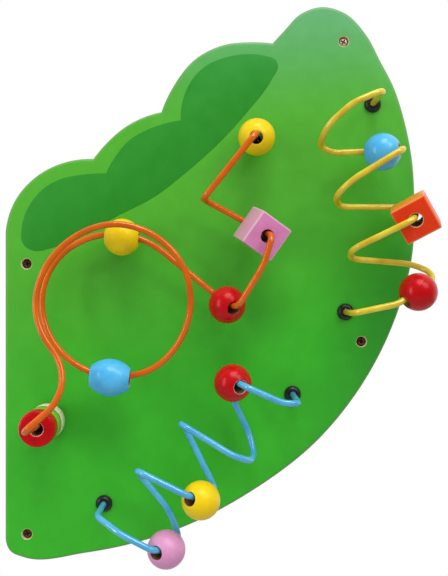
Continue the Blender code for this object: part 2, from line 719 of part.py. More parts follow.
def make_threaded_beads():
    corners = {
        "yellow": corner_rows(YELLOW_WIRE_SHARES),
        "blue": corner_rows(BLUE_WIRE_SHARES),
        "orange": corner_rows(ORANGE_WIRE_START_SHARES),
    }
    hole = cube_hole_mesh()
    for name, shape, colour, wire, run, share, degrees in THREADED_BEAD_SHARES:
        start, finish = corners[wire][run][0], corners[wire][run + 1][0]
        middle = start.lerp(finish, share)
        where = hung_frame(middle, finish - start, half_hole_length(shape), LEAN_SHARES[name],
                           math.radians(degrees))
        if shape == "ball":
            place(name, ball_mesh(), colour, where)
        else:
            cube = place(name, cube_mesh(), colour, where)
            combine(cube, place(f"{name}_hole", hole, colour, where), "DIFFERENCE")


def make_seated_ball():
    """The yellow ball that has slid down the orange wire's first run and rests on the collar's crown."""
    name = "orange_wire_yellow_ball"
    start, finish = (row[0] for row in corner_rows(ORANGE_WIRE_START_SHARES)[1:3])
    half = half_hole_length("ball")
    direction = (finish - start).normalized()
    rise = COLLAR_DOME_HEIGHT + SEAT_GAP + free_play() * SEATED_BALL_RISE_SHARE + half
    above_start = rise - (-start.y - BOARD_THICKNESS)
    middle = start + direction * above_start
    place(name, ball_mesh(), "yellow", hung_frame(middle, direction, half, LEAN_SHARES[name], 0))


def make_ring_beads():
    """The two beads on the ring. Each hangs below the wire and its origin lies on the ring's axis."""
    centre = spot(*RING_CENTRE_SHARES, 0)
    for name, shape, colour, turns, drop in (
        ("ring_yellow_ball", "ball", "yellow", RING_BALL_TURN_SHARE, RING_BALL_DROP_SHARE),
        ("ring_blue_barrel", "barrel", "sky_blue", RING_BARREL_TURN_SHARE, RING_BARREL_DROP_SHARE),
    ):
        point, direction = ring_place(turns)
        leans = ((0, -drop, 0), (0, -drop, 0))
        where = hung_frame(point, direction, half_hole_length(shape), leans, 0)
        mesh = ball_mesh() if shape == "ball" else barrel_mesh()
        axis_point = Matrix.Translation(Vector((centre.x, where.translation.y, centre.z)))
        mesh.transform(axis_point.inverted() @ where)
        place(name, mesh, colour, axis_point)


def make_discs():
    """Three discs stacked on the orange wire's last run, the first resting on the collar's crown."""
    across, up = ORANGE_WIRE_END_SHARES[-1][:2]
    height = COLLAR_DOME_HEIGHT + SEAT_GAP
    for name, thickness, colour in (
        ("natural_disc", NATURAL_DISC_THICKNESS, "natural_wood"),
        ("lime_disc", LIME_DISC_THICKNESS, "lime"),
        ("red_disc", RED_DISC_THICKNESS, "red"),
    ):
        where = facing_out(across, up, height)
        where.translation.z -= free_play()
        place(name, disc_mesh(name, thickness), colour, where)
        height += thickness + SEAT_GAP


def main():
    clear_scene()
    make_board()
    make_collars()
    make_washers()
    make_wall_screws()
    make_wires()
    make_threaded_beads()
    make_seated_ball()
    make_ring_beads()
    make_discs()


main()
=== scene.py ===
# Activity wall panel: the finished looks of the painted board, its bent wires and the beads on them.
#
# Frame: metres, +Z up, the board's back in the plane Y = 0 and its front facing -Y.

import math

import bmesh
import bpy
from mathutils import Matrix, Vector


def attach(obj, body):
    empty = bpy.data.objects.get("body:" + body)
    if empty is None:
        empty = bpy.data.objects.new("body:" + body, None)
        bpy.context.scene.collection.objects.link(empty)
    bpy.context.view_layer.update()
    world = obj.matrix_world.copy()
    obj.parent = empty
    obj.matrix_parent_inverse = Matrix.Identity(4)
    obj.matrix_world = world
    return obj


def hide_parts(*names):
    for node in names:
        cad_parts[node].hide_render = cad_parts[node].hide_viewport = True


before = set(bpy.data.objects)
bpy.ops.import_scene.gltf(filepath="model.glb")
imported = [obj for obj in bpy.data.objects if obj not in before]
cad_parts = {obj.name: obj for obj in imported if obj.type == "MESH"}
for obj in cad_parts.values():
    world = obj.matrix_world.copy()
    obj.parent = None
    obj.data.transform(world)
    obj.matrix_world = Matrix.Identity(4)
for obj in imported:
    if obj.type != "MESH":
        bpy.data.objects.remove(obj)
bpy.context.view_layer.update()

MM = 0.001
FULL_TURN = 2 * math.pi

# The board, in millimetres.
BOARD_WIDTH = 342
BOARD_HEIGHT = 460
BOARD_THICKNESS = 15
FRONT_ROUNDING = 3
BACK_ROUNDING = 1
PATCH_COAT = 0.2
OUTLINE_STEP = 2.5

# Outline of the board and of the darker patch, in shares of the board's width and height from the bottom left.
# Stretches meet at the sharp notches between the scallops.
OUTLINE = (
    ((0.000, 0.591), (0.024, 0.649), (0.083, 0.696), (0.138, 0.716), (0.215, 0.724)),
    ((0.215, 0.724), (0.253, 0.757), (0.291, 0.781), (0.330, 0.797), (0.381, 0.809)),
    ((0.381, 0.809), (0.406, 0.850), (0.469, 0.908), (0.534, 0.931), (0.597, 0.936), (0.653, 0.934)),
    ((0.653, 0.934), (0.684, 0.959), (0.719, 0.986), (0.774, 1.000), (0.829, 0.989), (0.882, 0.949),
     (0.916, 0.902), (0.948, 0.856), (0.976, 0.791), (0.993, 0.727), (1.000, 0.649), (0.993, 0.540),
     (0.962, 0.452), (0.880, 0.323), (0.757, 0.208), (0.604, 0.121), (0.429, 0.053), (0.198, 0.008),
     (0.043, 0.000), (0.013, 0.010), (0.000, 0.033)),
)
PATCH = (
    ((0.040, 0.587), (0.048, 0.620), (0.069, 0.649), (0.094, 0.669), (0.138, 0.687), (0.184, 0.694),
     (0.247, 0.697)),
    ((0.247, 0.697), (0.274, 0.732), (0.302, 0.756), (0.351, 0.777), (0.429, 0.793)),
    ((0.429, 0.793), (0.441, 0.845), (0.459, 0.869), (0.493, 0.893), (0.534, 0.906), (0.586, 0.913),
     (0.635, 0.910), (0.661, 0.902), (0.666, 0.892), (0.652, 0.869), (0.586, 0.804), (0.534, 0.761),
     (0.441, 0.698), (0.364, 0.654), (0.283, 0.623), (0.120, 0.563), (0.069, 0.557), (0.048, 0.566),
     (0.040, 0.587)),
)

# Wall screws, and the six places where a wire goes through the board: X and Z in millimetres.
SCREW_PLACES = ((111.49, 200.56), (-152.87, 15.18), (126.20, -49.68), (-152.53, -210.22))
WIRE_ENDS = {
    "yellow_wire_upper": (135.43, 148.12),
    "yellow_wire_lower": (112.86, -24.84),
    "blue_wire_right": (68.74, -93.38),
    "blue_wire_left": (-88.24, -184.46),
    "orange_wire_upper": (37.62, 118.68),
    "orange_wire_lower": (-134.06, -112.24),
}

# Corners of the wires in millimetres: X, height off the board's front, Z, and the bend's radius.
WIRE_DIAMETER = 5
WIRE_SIDES = 24
YELLOW_WIRE = (
    (135.43, -12.60, 148.12, 0.00), (135.43, 50.00, 148.12, 9.00), (111.15, 50.00, 138.00, 36.00),
    (90.63, 46.00, 120.06, 22.50), (87.89, 28.00, 107.64, 11.70), (100.89, 18.00, 104.42, 11.70),
    (153.22, 30.00, 104.88, 6.30), (150.14, 50.00, 102.58, 8.10), (110.12, 50.00, 78.20, 31.50),
    (98.50, 40.00, 66.24, 13.50), (104.99, 22.00, 60.26, 11.70), (170.00, 12.00, 61.00, 6.30),
    (156.30, 59.00, 47.20, 8.10), (110.81, 46.00, 24.84, 11.70), (112.86, 24.00, 18.40, 10.80),
    (166.55, 17.00, 14.26, 27.00), (182.29, 31.00, 3.68, 11.70), (146.38, 46.00, -17.48, 13.50),
    (112.86, 42.00, -24.84, 9.00), (112.86, -12.60, -24.84, 0.00),
)
BLUE_WIRE = (
    (68.74, -12.60, -93.38, 0.00), (68.74, 56.00, -93.38, 9.00), (56.77, 56.00, -92.92, 36.00),
    (28.39, 56.00, -80.50, 9.90), (9.23, 16.00, -74.98, 9.00), (31.46, 18.00, -121.44, 31.50),
    (36.25, 24.00, -138.92, 10.80), (31.81, 50.00, -138.46, 10.80), (17.78, 55.00, -132.94, 31.50),
    (-22.23, 54.00, -108.56, 8.10), (-19.84, 22.00, -116.84, 9.00), (8.89, 30.00, -173.42, 9.00),
    (-15.39, 62.00, -162.38, 9.90), (-55.06, 54.00, -144.90, 8.10), (-56.43, 22.00, -155.02, 9.00),
    (-32.83, 23.00, -183.08, 54.00), (-22.23, 24.50, -209.53, 9.00), (-41.72, 57.00, -205.85, 9.90),
    (-68.06, 52.00, -194.12, 36.00), (-88.24, 38.00, -184.46, 9.00), (-88.24, -12.60, -184.46, 0.00),
)
ORANGE_WIRE_START = (
    (37.62, -12.60, 118.68, 0.00), (37.62, 6.00, 118.68, 18.00), (36.94, 46.00, 115.92, 7.20),
    (-4.10, 46.00, 64.40, 6.30), (-4.79, 18.00, 66.70, 6.30), (38.99, 16.00, 43.24, 7.20),
    (48.91, 54.00, 34.96, 7.20), (41.72, 55.00, 11.96, 31.50), (22.23, 47.00, -20.24, 9.00),
    (8.21, 14.00, -13.34, 8.10),
)
ORANGE_WIRE_END = (
    (-99.86, 63.00, -80.04, 35.10), (-137.83, 80.00, -112.93, 7.20), (-134.06, 50.00, -112.24, 18.00),
    (-134.06, -12.60, -112.24, 0.00),
)
# The ring between them: turns from due right, with the radius there. It climbs off the board as it goes.
RING_CENTRE = (-73.53, -16.56)
RING_START_HEIGHT = 16
RING_RISE = 38
RING_LEVEL_TURN = 0.2425
RING_RADII = (
    (0.140, 54.30), (0.203, 54.18), (0.242, 55.20), (0.286, 56.16), (0.328, 57.48), (0.392, 59.88),
    (0.472, 60.90), (0.550, 60.00), (0.606, 59.40), (0.692, 58.62), (0.783, 59.10), (0.825, 59.58),
    (0.920, 58.56), (1.006, 58.98), (1.078, 60.36), (1.186, 60.84), (1.242, 61.20), (1.333, 59.70),
    (1.411, 59.40), (1.503, 59.52), (1.597, 57.90),
)
RING_STEP_TURNS = 0.008
# The radii are divided by this, so that they and the turns are about alike in size where the curve is drawn.
RING_SCALE = 60
BEND_STEP = math.radians(6)
# Bends take up this share of the straight run between them at most. The second keeps the division off zero.
BEND_SHARE = 0.98
LEAST_BENDS = 0.3

# Beads: shape, finish, the middle of the hole, the hole's direction, and for a cube the way one side faces.
BALL_RADIUS = 15
CUBE_EDGE = 29
CUBE_ROUNDING = 1.2
DISC_RADIUS = 14.5
DISC_ROUNDING = 2.5
BARREL_HALF_LENGTH = 15.6
BARREL_END_RADIUS = 8.4
BARREL_BELLY = 6.5
HOLE_RADIUS = 5.35
BARREL_HOLE_RADIUS = 6.0
LIP_ROUNDING = 0.45
BEADS = {
    "yellow_wire_blue_ball": ("ball", "sky_blue", (138.23, -42.69, 103.66), (0.9282, -0.3606, 0.0918), None),
    "yellow_wire_orange_cube": ("cube", "orange_red", (161.81, -55.46, 50.60), (-0.2163, -0.9410, -0.2601),
                                (0.5090, 0.1187, -0.8524)),
    "yellow_wire_red_ball": ("ball", "red", (164.06, -54.25, -8.12), (-0.7951, -0.2224, -0.5642), None),
    "blue_wire_red_ball": ("ball", "red", (18.60, -50.03, -80.07), (-0.4199, 0.8992, 0.1227), None),
    "blue_wire_yellow_ball": ("ball", "yellow", (-6.17, -64.52, -168.81), (-0.5987, -0.7608, 0.2507), None),
    "blue_wire_pink_ball": ("ball", "pink", (-33.36, -57.35, -208.97), (-0.5115, -0.8572, 0.0592), None),
    "orange_wire_pink_cube": ("cube", "pink_cube", (41.80, -47.50, 38.29), (0.2506, -0.9428, -0.2199),
                              (0.7798, 0.3311, -0.5313)),
    "orange_wire_red_ball": ("ball", "red", (14.21, -43.60, -18.46), (-0.3875, 0.8992, 0.2032), None),
    "orange_wire_yellow_ball": ("ball", "yellow", (38.18, -33.99, 117.32), (-0.0662, -0.9761, -0.2071), None),
    "ring_yellow_ball": ("ball", "yellow", (-70.93, -33.67, 36.13), (0.9991, 0.0009, -0.0417), None),
    "ring_blue_barrel": ("barrel", "sky_blue", (-78.66, -46.71, -76.03), (0.9956, -0.0006, -0.0942), None),
}
# Discs: finish, thickness, and the height of the lower face over the board's back.
DISCS = {
    "natural_disc": ("clear_beech", 13, 19.3),
    "lime_disc": ("lime", 15, 32.6),
    "red_disc": ("red", 13, 47.9),
}
DISC_AXIS = (-134.06, -114.69)


def linear(code):
    """An sRGB hex colour in linear values."""
    channels = [int(code[i:i + 2], 16) / 255 for i in (1, 3, 5)]
    return (*(c / 12.92 if c <= 0.04045 else ((c + 0.055) / 1.055) ** 2.4 for c in channels), 1.0)


def add(tree, kind, settings, **inputs):
    """A node with its settings. Each input is a value or another node's output, by its name or its number."""
    node = tree.nodes.new(kind)
    for setting, value in settings.items():
        setattr(node, setting, value)
    for name, value in inputs.items():
        key = int(name[1:]) if name[0] == "n" and name[1:].isdigit() else name.replace("_", " ")
        if isinstance(value, bpy.types.NodeSocket):
            tree.links.new(value, node.inputs[key])
        else:
            node.inputs[key].default_value = value
    return node


def new_finish(name, **constants):
    """A material with its shader, whose even values are set on the shader's own sockets."""
    material = bpy.data.materials.new(name)
    material.use_nodes = True
    tree = material.node_tree
    shader = tree.nodes["Principled BSDF"]
    for socket, value in constants.items():
        shader.inputs[socket.replace("_", " ")].default_value = value
    return material, tree, shader


def smooth_stretch(knots, step):
    """Points along a curve through open knots: cubic pieces that share their slope at each knot."""
    lengths = [(b - a).length for a, b in zip(knots, knots[1:])]
    slopes = [(b - a) / length for a, b, length in zip(knots, knots[1:], lengths)]
    inner = [
        (slopes[i] * lengths[i - 1] + slopes[i - 1] * lengths[i]) / (lengths[i - 1] + lengths[i])
        for i in range(1, len(slopes))
    ]
    tangents = [slopes[0] * 2 - inner[0]] + inner + [slopes[-1] * 2 - inner[-1]]
    points = [knots[0]]
    for i, length in enumerate(lengths):
        count = max(2, math.ceil(length / step))
        for k in range(1, count + 1):
            t = k / count
            points.append(
                knots[i] * (2 * t**3 - 3 * t**2 + 1)
                + tangents[i] * length * (t**3 - 2 * t**2 + t)
                + knots[i + 1] * (3 * t**2 - 2 * t**3)
                + tangents[i + 1] * length * (t**3 - t**2)
            )
    return points


def closed_outline(stretches):
    """Points round a whole outline in millimetres, with a straight side where it doesn't end where it began."""
    outline = []
    for stretch in stretches:
        knots = [Vector(((a - 0.5) * BOARD_WIDTH, (b - 0.5) * BOARD_HEIGHT)) for a, b in stretch]
        outline += smooth_stretch(knots, OUTLINE_STEP)[:-1]
    last = stretches[-1][-1]
    if last != stretches[0][0]:
        bottom = Vector(((last[0] - 0.5) * BOARD_WIDTH, (last[1] - 0.5) * BOARD_HEIGHT))
        rise = outline[0] - bottom
        count = math.ceil(rise.length / OUTLINE_STEP)
        outline += [bottom + rise * k / count for k in range(count)]
    return outline


def drawn_in(outline, distance):
    """The outline moved inwards. A corner moves by twice the distance at most."""
    moved = []
    for before, point, after in zip(outline[-1:] + outline[:-1], outline, outline[1:] + outline[:1]):
        first = (point - before).normalized()
        second = (after - point).normalized()
        inward = Vector((first.y + second.y, -first.x - second.x)).normalized()
        across = inward.dot(Vector((first.y, -first.x)))
        moved.append(point + inward * (distance / max(across, 0.5)))
    return moved


def slab(name, outline, rings):
    """A solid through rings of (distance drawn in, height off the wall), closed by flat caps, in metres."""
    work = bmesh.new()
    loops = []
    for distance, height in rings:
        ring = drawn_in(outline, distance)
        loops.append([work.verts.new((p.x * MM, -height * MM, p.y * MM)) for p in ring])
    for low, high in zip(loops, loops[1:]):
        for i, vert in enumerate(low):
            work.faces.new((low[i - 1], vert, high[i], high[i - 1]))
    work.faces.new(loops[0])
    work.faces.new(loops[-1])
    bmesh.ops.recalc_face_normals(work, faces=work.faces)
    mesh = bpy.data.meshes.new(name)
    work.to_mesh(mesh)
    work.free()
    return mesh


def turned(name, profile, sides, closed=True, parts=None):
    """A turned solid about local Z, in metres. The profile holds (radius, height) pairs in millimetres; parts
    gives each stretch of it a material number."""
    work = bmesh.new()
    rings = []
    for radius, height in profile:
        if radius < 1e-6:
            rings.append([work.verts.new((0, 0, height * MM))])
            continue
        angles = [FULL_TURN * k / sides for k in range(sides)]
        rings.append([
            work.verts.new((radius * MM * math.cos(a), radius * MM * math.sin(a), height * MM)) for a in angles
        ])
    pairs = list(zip(rings, rings[1:]))
    if closed:
        pairs.append((rings[-1], rings[0]))
    for number, (low, high) in enumerate(pairs):
        for k in range(sides):
            after = (k + 1) % sides
            corners = [low[k % len(low)], low[after % len(low)], high[after % len(high)], high[k % len(high)]]
            corners = [v for i, v in enumerate(corners) if v not in corners[:i]]
            if len(corners) > 2:
                face = work.faces.new(corners)
                face.material_index = parts[number] if parts else 0
    bmesh.ops.recalc_face_normals(work, faces=work.faces)
    mesh = bpy.data.meshes.new(name)
    work.to_mesh(mesh)
    work.free()
    mesh.shade_smooth()
    return mesh


def along(direction, centre, side=None):
    """A frame at centre, in metres, whose local Z points along direction."""
    z_axis = Vector(direction).normalized()
    x_axis = Vector(side) if side else Vector((0, 0, 1)).cross(z_axis)
    x_axis = (x_axis - z_axis * x_axis.dot(z_axis)).normalized()
    turn = Matrix((x_axis, z_axis.cross(x_axis), z_axis)).transposed().to_4x4()
    return Matrix.Translation(Vector(centre) * MM) @ turn


def facing_out(x, z, height=0):
    """A frame on the board's front whose local Z points out of it."""
    place = Matrix.Translation(Vector((x, -BOARD_THICKNESS - height, z)) * MM)
    return place @ Matrix.Rotation(math.pi / 2, 4, "X")


def cut(mesh, cutters):
    """The mesh with the cutters taken out of it. Cut faces keep their own material number."""
    body = bpy.data.objects.new("cut_body", mesh)
    bpy.context.scene.collection.objects.link(body)
    tools = []
    for cutter, where in cutters:
        tool = bpy.data.objects.new("cut_tool", cutter)
        bpy.context.scene.collection.objects.link(tool)
        tool.matrix_world = where
        tools.append(tool)
        modifier = body.modifiers.new("cut", "BOOLEAN")
        modifier.operation = "DIFFERENCE"
        modifier.solver = "EXACT"
        modifier.object = tool
    bpy.context.view_layer.update()
    result = bpy.data.meshes.new_from_object(body.evaluated_get(bpy.context.evaluated_depsgraph_get()))
    for obj in [body, *tools]:
        bpy.data.objects.remove(obj)
    return result


def round_edges(mesh, width, segments):
    """Rounds the mesh's sharp edges."""
    work = bmesh.new()
    work.from_mesh(mesh)
    sharp = [e for e in work.edges if e.is_manifold and e.calc_face_angle() > math.radians(30)]
    bmesh.ops.bevel(work, geom=sharp, offset=width * MM, segments=segments, profile=0.5, affect="EDGES")
    work.to_mesh(mesh)
    work.free()


def keep_place(mesh):
    """Keeps each vertex's own place on the bead, so that its grain turns with it."""
    place = mesh.attributes.new("bead_place", "FLOAT_VECTOR", "POINT")
    for entry, vert in zip(place.data, mesh.vertices):
        entry.vector = vert.co


def geometry_tree(name, inputs):
    """An empty node tree with a geometry input and output and the named inputs."""
    tree = bpy.data.node_groups.new(name, "GeometryNodeTree")
    tree.interface.new_socket("Geometry", in_out="INPUT", socket_type="NodeSocketGeometry")
    for label, kind in inputs:
        tree.interface.new_socket(label, in_out="INPUT", socket_type=kind)
    tree.interface.new_socket("Geometry", in_out="OUTPUT", socket_type="NodeSocketGeometry")
    return tree, tree.nodes.new("NodeGroupInput").outputs, tree.nodes.new("NodeGroupOutput").inputs


def grown(name, mesh, tree, values):
    """What the tree makes from a mesh, as a plain mesh."""
    seed = bpy.data.objects.new(name, mesh)
    bpy.context.scene.collection.objects.link(seed)
    modifier = seed.modifiers.new("grow", "NODES")
    modifier.node_group = tree
    for item in tree.interface.items_tree:
        if item.item_type == "SOCKET" and item.in_out == "INPUT" and item.name in values:
            modifier[item.identifier] = values[item.name]
    bpy.context.view_layer.update()
    result = bpy.data.meshes.new_from_object(seed.evaluated_get(bpy.context.evaluated_depsgraph_get()))
    seed.modifiers.remove(modifier)
    bpy.data.objects.remove(seed)
    return result


def piece(name, mesh, body, slot, *nodes):
    """A finished piece that rides on a body and stands for CAD nodes."""
    obj = bpy.data.objects.new(name, mesh)
    bpy.context.scene.collection.objects.link(obj)
    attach(obj, body)
    if nodes:
        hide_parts(*nodes)


def bent_route(corners):
    """Points along straight runs between (corner, bend radius) pairs, joined by round bends, in millimetres."""
    places = [corner for corner, _ in corners]
    runs = [after - before for before, after in zip(places, places[1:])]
    turns = [0] + [before.angle(after) for before, after in zip(runs, runs[1:])] + [0]
    trims = [radius * math.tan(turn / 2) for (_, radius), turn in zip(corners, turns)]
    room = [
        min(1, BEND_SHARE * run.length / max(first + last, LEAST_BENDS))
        for run, first, last in zip(runs, trims, trims[1:])
    ]
    points = [places[0]]
    for i in range(1, len(places) - 1):
        trim = trims[i] * min(room[i - 1], room[i])
        radius = trim / math.tan(turns[i] / 2)
        incoming = runs[i - 1].normalized()
        outgoing = runs[i].normalized()
        inward = (outgoing - incoming * incoming.dot(outgoing)).normalized()
        start = places[i] - incoming * trim
        steps = max(3, math.ceil(turns[i] / BEND_STEP))
        for k in range(steps + 1):
            angle = turns[i] * k / steps
            points.append(start + (incoming * math.sin(angle) + inward * (1 - math.cos(angle))) * radius)
    points.append(places[-1])
    return points


def corner_rows(rows):
    """A wire's table as (corner, bend radius) pairs."""
    return [(Vector((x, -BOARD_THICKNESS - height, z)), bend) for x, height, z, bend in rows]


def ring_point(turns, radius):
    """A point of the ring. It climbs at the two sides and is level at the top and bottom, where its beads sit."""
    first, last = RING_RADII[0][0], RING_RADII[-1][0]
    level = math.sin(2 * FULL_TURN * (turns - RING_LEVEL_TURN)) / (2 * FULL_TURN)
    height = RING_START_HEIGHT + RING_RISE * (turns - first - level) / (last - first)
    angle = turns * FULL_TURN
    return Vector((
        RING_CENTRE[0] + radius * math.cos(angle), -BOARD_THICKNESS - height,
        RING_CENTRE[1] + radius * math.sin(angle),
    ))


def orange_route():
    """The orange wire's way: from the board to the ring, round it, and down through the discs."""
    knots = [Vector((turns, radius / RING_SCALE)) for turns, radius in RING_RADII]
    ring = [ring_point(k.x, k.y * RING_SCALE) for k in smooth_stretch(knots, RING_STEP_TURNS)]
    start = bent_route(corner_rows(ORANGE_WIRE_START) + [(ring[0], 0)])
    return start + ring[1:-1] + bent_route([(ring[-1], 0)] + corner_rows(ORANGE_WIRE_END))


# Finishes


def noise(tree, place, size, detail):
    """Noise whose blobs are about size metres across."""
    return add(tree, "ShaderNodeTexNoise", {}, Vector=place, Scale=1 / size, Detail=detail).outputs["Fac"]


def ranged(tree, value, start, end, low=0.0, high=1.0, easing="LINEAR"):
    """A value that goes from low to high while the given one goes from start to end."""
    return add(tree, "ShaderNodeMapRange", {"interpolation_type": easing}, Value=value, From_Min=start, From_Max=end,
               To_Min=low, To_Max=high).outputs["Result"]


def laid_over(tree, share, under, over):
    """A colour with another over it, by a share from 0 to 1."""
    return add(tree, "ShaderNodeMix", {"data_type": "RGBA"}, n0=share, n6=under, n7=over).outputs[2]


def dress(tree, shader, colour, rub, gloss, relief, strength, depth):
    """Gives the shader its colour, a roughness that follows the rub marks, and a relief of a depth in metres."""
    tree.links.new(colour, shader.inputs["Base Color"])
    tree.links.new(ranged(tree, rub, 0.3, 0.7, *gloss), shader.inputs["Roughness"])
    bump = add(tree, "ShaderNodeBump", {}, Strength=strength, Distance=depth, Height=relief)
    tree.links.new(bump.outputs["Normal"], shader.inputs["Normal"])


def sprayed_board_paint(name, light_and_shade_tones, worn):
    """Water-based satin paint sprayed on smooth fibreboard. It shows as an even green with a soft, broad sheen,
    the faint orange-peel of a sprayed coat and a thin worn coat on the edge. Its four tones are painted light
    and shade: paler towards the left and the top, where the board is lit more, and darker towards the lower
    right, where shade falls. They are those of the lower middle, the left, the top and the lower right."""
    material, tree, shader = new_finish(name, IOR=1.45)
    place = add(tree, "ShaderNodeTexCoord", {}).outputs["Object"]
    drift = noise(tree, place, 0.09, 2.0)
    mottle = noise(tree, place, 0.011, 3.0)
    # Painted light and shade: each way across the board, with where one tone begins and the next is reached.
    # It is paler towards the left and the top, where the board is lit more, and darker towards the lower right,
    # where shade falls. The border between two tones wanders by up to 50 mm.
    wander = 0.05
    shade = light_and_shade_tones[0]
    for across, begin, reached, colour in (
        ((-0.35, 0.0, 1.0), -0.10, 0.08, light_and_shade_tones[1]),
        ((0.0, 0.0, 1.0), 0.125, 0.25, light_and_shade_tones[2]),
        ((1.4, 0.0, -0.6), 0.14, 0.26, light_and_shade_tones[3]),
    ):
        way = add(tree, "ShaderNodeVectorMath", {"operation": "DOT_PRODUCT"}, n0=place, n1=across)
        wavy = add(tree, "ShaderNodeMath", {"operation": "MULTIPLY_ADD"}, n0=drift, n1=wander,
                   n2=way.outputs["Value"])
        share = ranged(tree, wavy.outputs["Value"], begin + wander / 2, reached + wander / 2, easing="SMOOTHSTEP")
        shade = laid_over(tree, share, shade, colour)
    mottled = add(tree, "ShaderNodeVectorMath", {"operation": "SCALE"}, n0=shade,
                  Scale=ranged(tree, mottle, 0.3, 0.7, 0.97, 1.03))
    # The coat is rubbed thin over the rounded front edge, between Y = -14.95 and -10 mm.
    height = add(tree, "ShaderNodeSeparateXYZ", {}, Vector=place).outputs["Y"]
    edge = add(tree, "ShaderNodeMath", {"operation": "MULTIPLY"},
               n0=ranged(tree, height, -0.01495, -0.0139, 0.0, 0.75),
               n1=ranged(tree, height, -0.0118, -0.0100, 1.0, 0.0))
    finished = laid_over(tree, edge.outputs["Value"], mottled.outputs["Vector"], worn)
    # Orange-peel cells of a sprayed coat are about 1.5 mm across.
    peel = noise(tree, place, 0.0015, 1.0)
    dress(tree, shader, finished, mottle, (0.42, 0.5), peel, 0.25, 0.00003)
    return material


def wire_enamel(name, colour, deep, gleam):
    """Coloured plastic enamel dipped over a 5 mm steel rod. It shows as a clean glossy line of light with slight
    thick and thin places, darker where the coat is thick, and fine rub marks where beads travel."""
    material, tree, shader = new_finish(name, IOR=1.8, Specular_Tint=gleam)
    place = add(tree, "ShaderNodeTexCoord", {}).outputs["Object"]
    # Thick and thin places come every 15 mm or so, rub marks every 2 mm.
    thick = noise(tree, place, 0.015, 2.0)
    rub = noise(tree, place, 0.002, 4.0)
    shade = laid_over(tree, ranged(tree, thick, 0.35, 0.65), colour, deep)
    dress(tree, shader, shade, rub, (0.12, 0.2), thick, 0.2, 0.00006)
    return material


def bead_lacquer(name, dull, colour, deep, worn, gleam, lit_end_grain=None):
    """Coloured lacquer tumbled over turned beech. It shows as a strong even colour with soft broad highlights,
    the grain just telling through, and small paler nicks. On a cube the grain runs across the hole; its two end
    faces take a paler, warmer colour, partly the end grain's thinner coat and partly painted light on the side
    that faces the lamps; and its rounded edges are painted paler as a painted highlight."""
    material, tree, shader = new_finish(name, IOR=1.5, Specular_Tint=gleam)
    place = add(tree, "ShaderNodeAttribute", {"attribute_name": "bead_place"}).outputs["Vector"]
    # Grain lines run along the hole, across it on a cube, about 1.2 mm apart; nicks are 2 to 3 mm apart and few.
    stretched = add(tree, "ShaderNodeMapping", {}, Vector=place,
                    Scale=(0.06, 1.0, 1.0) if lit_end_grain else (1.0, 1.0, 0.06))
    grain = add(tree, "ShaderNodeTexNoise", {}, Vector=stretched.outputs["Vector"], Scale=1 / 0.0012, Detail=3.0,
                Roughness=0.6).outputs["Fac"]
    body = noise(tree, place, 0.012, 2.0)
    nick = noise(tree, place, 0.0025, 2.0)
    tone = add(tree, "ShaderNodeMath", {"operation": "MULTIPLY_ADD"}, n0=grain, n1=0.5, n2=body).outputs["Value"]
    finished = laid_over(tree, ranged(tree, tone, 0.55, 0.95), colour, deep)
    finished = laid_over(tree, ranged(tree, nick, 0.72, 0.78, 0.0, 0.5), finished, worn)
    # Painted light: a cube's two end faces take a paler, warmer colour, partly the end grain's thinner coat and
    # partly the light on the side that faces the lamps.
    if lit_end_grain:
        away = add(tree, "ShaderNodeVectorMath", {"operation": "ABSOLUTE"}, Vector=place)
        sides = add(tree, "ShaderNodeSeparateXYZ", {}, Vector=away.outputs["Vector"]).outputs
        face = CUBE_EDGE * MM / 2
        finished = laid_over(tree, ranged(tree, sides["X"], face - 0.0012, face - 0.0004), finished, lit_end_grain)
        # An edge is where two of the three distances from the middle are near their greatest.
        reach = 0.0
        for first, second in ("XY", "YZ", "XZ"):
            both = add(tree, "ShaderNodeMath", {"operation": "ADD"}, n0=sides[first], n1=sides[second])
            reach = add(tree, "ShaderNodeMath", {"operation": "MAXIMUM"}, n0=both.outputs["Value"],
                        n1=reach).outputs["Value"]
        # Painted highlight: the rounded edges are painted paler, in the worn colour, where the rounding catches the
        # light.
        edge = ranged(tree, reach, 2 * face - 0.0016, 2 * face - 0.0008, 0.0, 0.55)
        finished = laid_over(tree, edge, finished, worn)
    dress(tree, shader, finished, grain, (dull - 0.04, dull + 0.04), tone, 0.2, 0.00002)
    return material


def bare_beech(name, light, dark, dull):
    """Turned beech with at most a clear matt coat. It shows as pale straight grain with short darker flecks."""
    material, tree, shader = new_finish(name, IOR=1.45)
    place = add(tree, "ShaderNodeTexCoord", {}).outputs["Object"]
    # Growth lines about 1.5 mm apart and flecks 0.4 mm wide and some 3 mm long, the flecks drawn twice as wide.
    stretched = add(tree, "ShaderNodeMapping", {}, Vector=place, Scale=(1.0, 0.12, 1.0)).outputs["Vector"]
    rings = noise(tree, stretched, 0.0015, 3.0)
    fleck = noise(tree, stretched, 0.0008, 1.0)
    shade = laid_over(tree, ranged(tree, rings, 0.35, 0.65), light, dark)
    finished = laid_over(tree, ranged(tree, fleck, 0.62, 0.7, 0.0, 0.5), shade, dark)
    dress(tree, shader, finished, rings, (dull - 0.06, dull + 0.06), rings, 0.3, 0.00005)
    return material


def moulded_black_plastic(name):
    """Injection-moulded black polyethylene. It shows as a soft grey gleam on a near black, finely pebbled skin."""
    material, tree, shader = new_finish(name, IOR=1.51)
    place = add(tree, "ShaderNodeTexCoord", {}).outputs["Object"]
    # The mould's spark texture is about 0.25 mm; it is drawn at 0.5 mm so that it shows.
    pebble = noise(tree, place, 0.0005, 2.0)
    bloom = noise(tree, place, 0.004, 2.0)
    shade = laid_over(tree, bloom, linear("#0b0c0d"), linear("#1a1c1f"))
    dress(tree, shader, shade, bloom, (0.3, 0.42), pebble, 0.3, 0.00003)
    return material


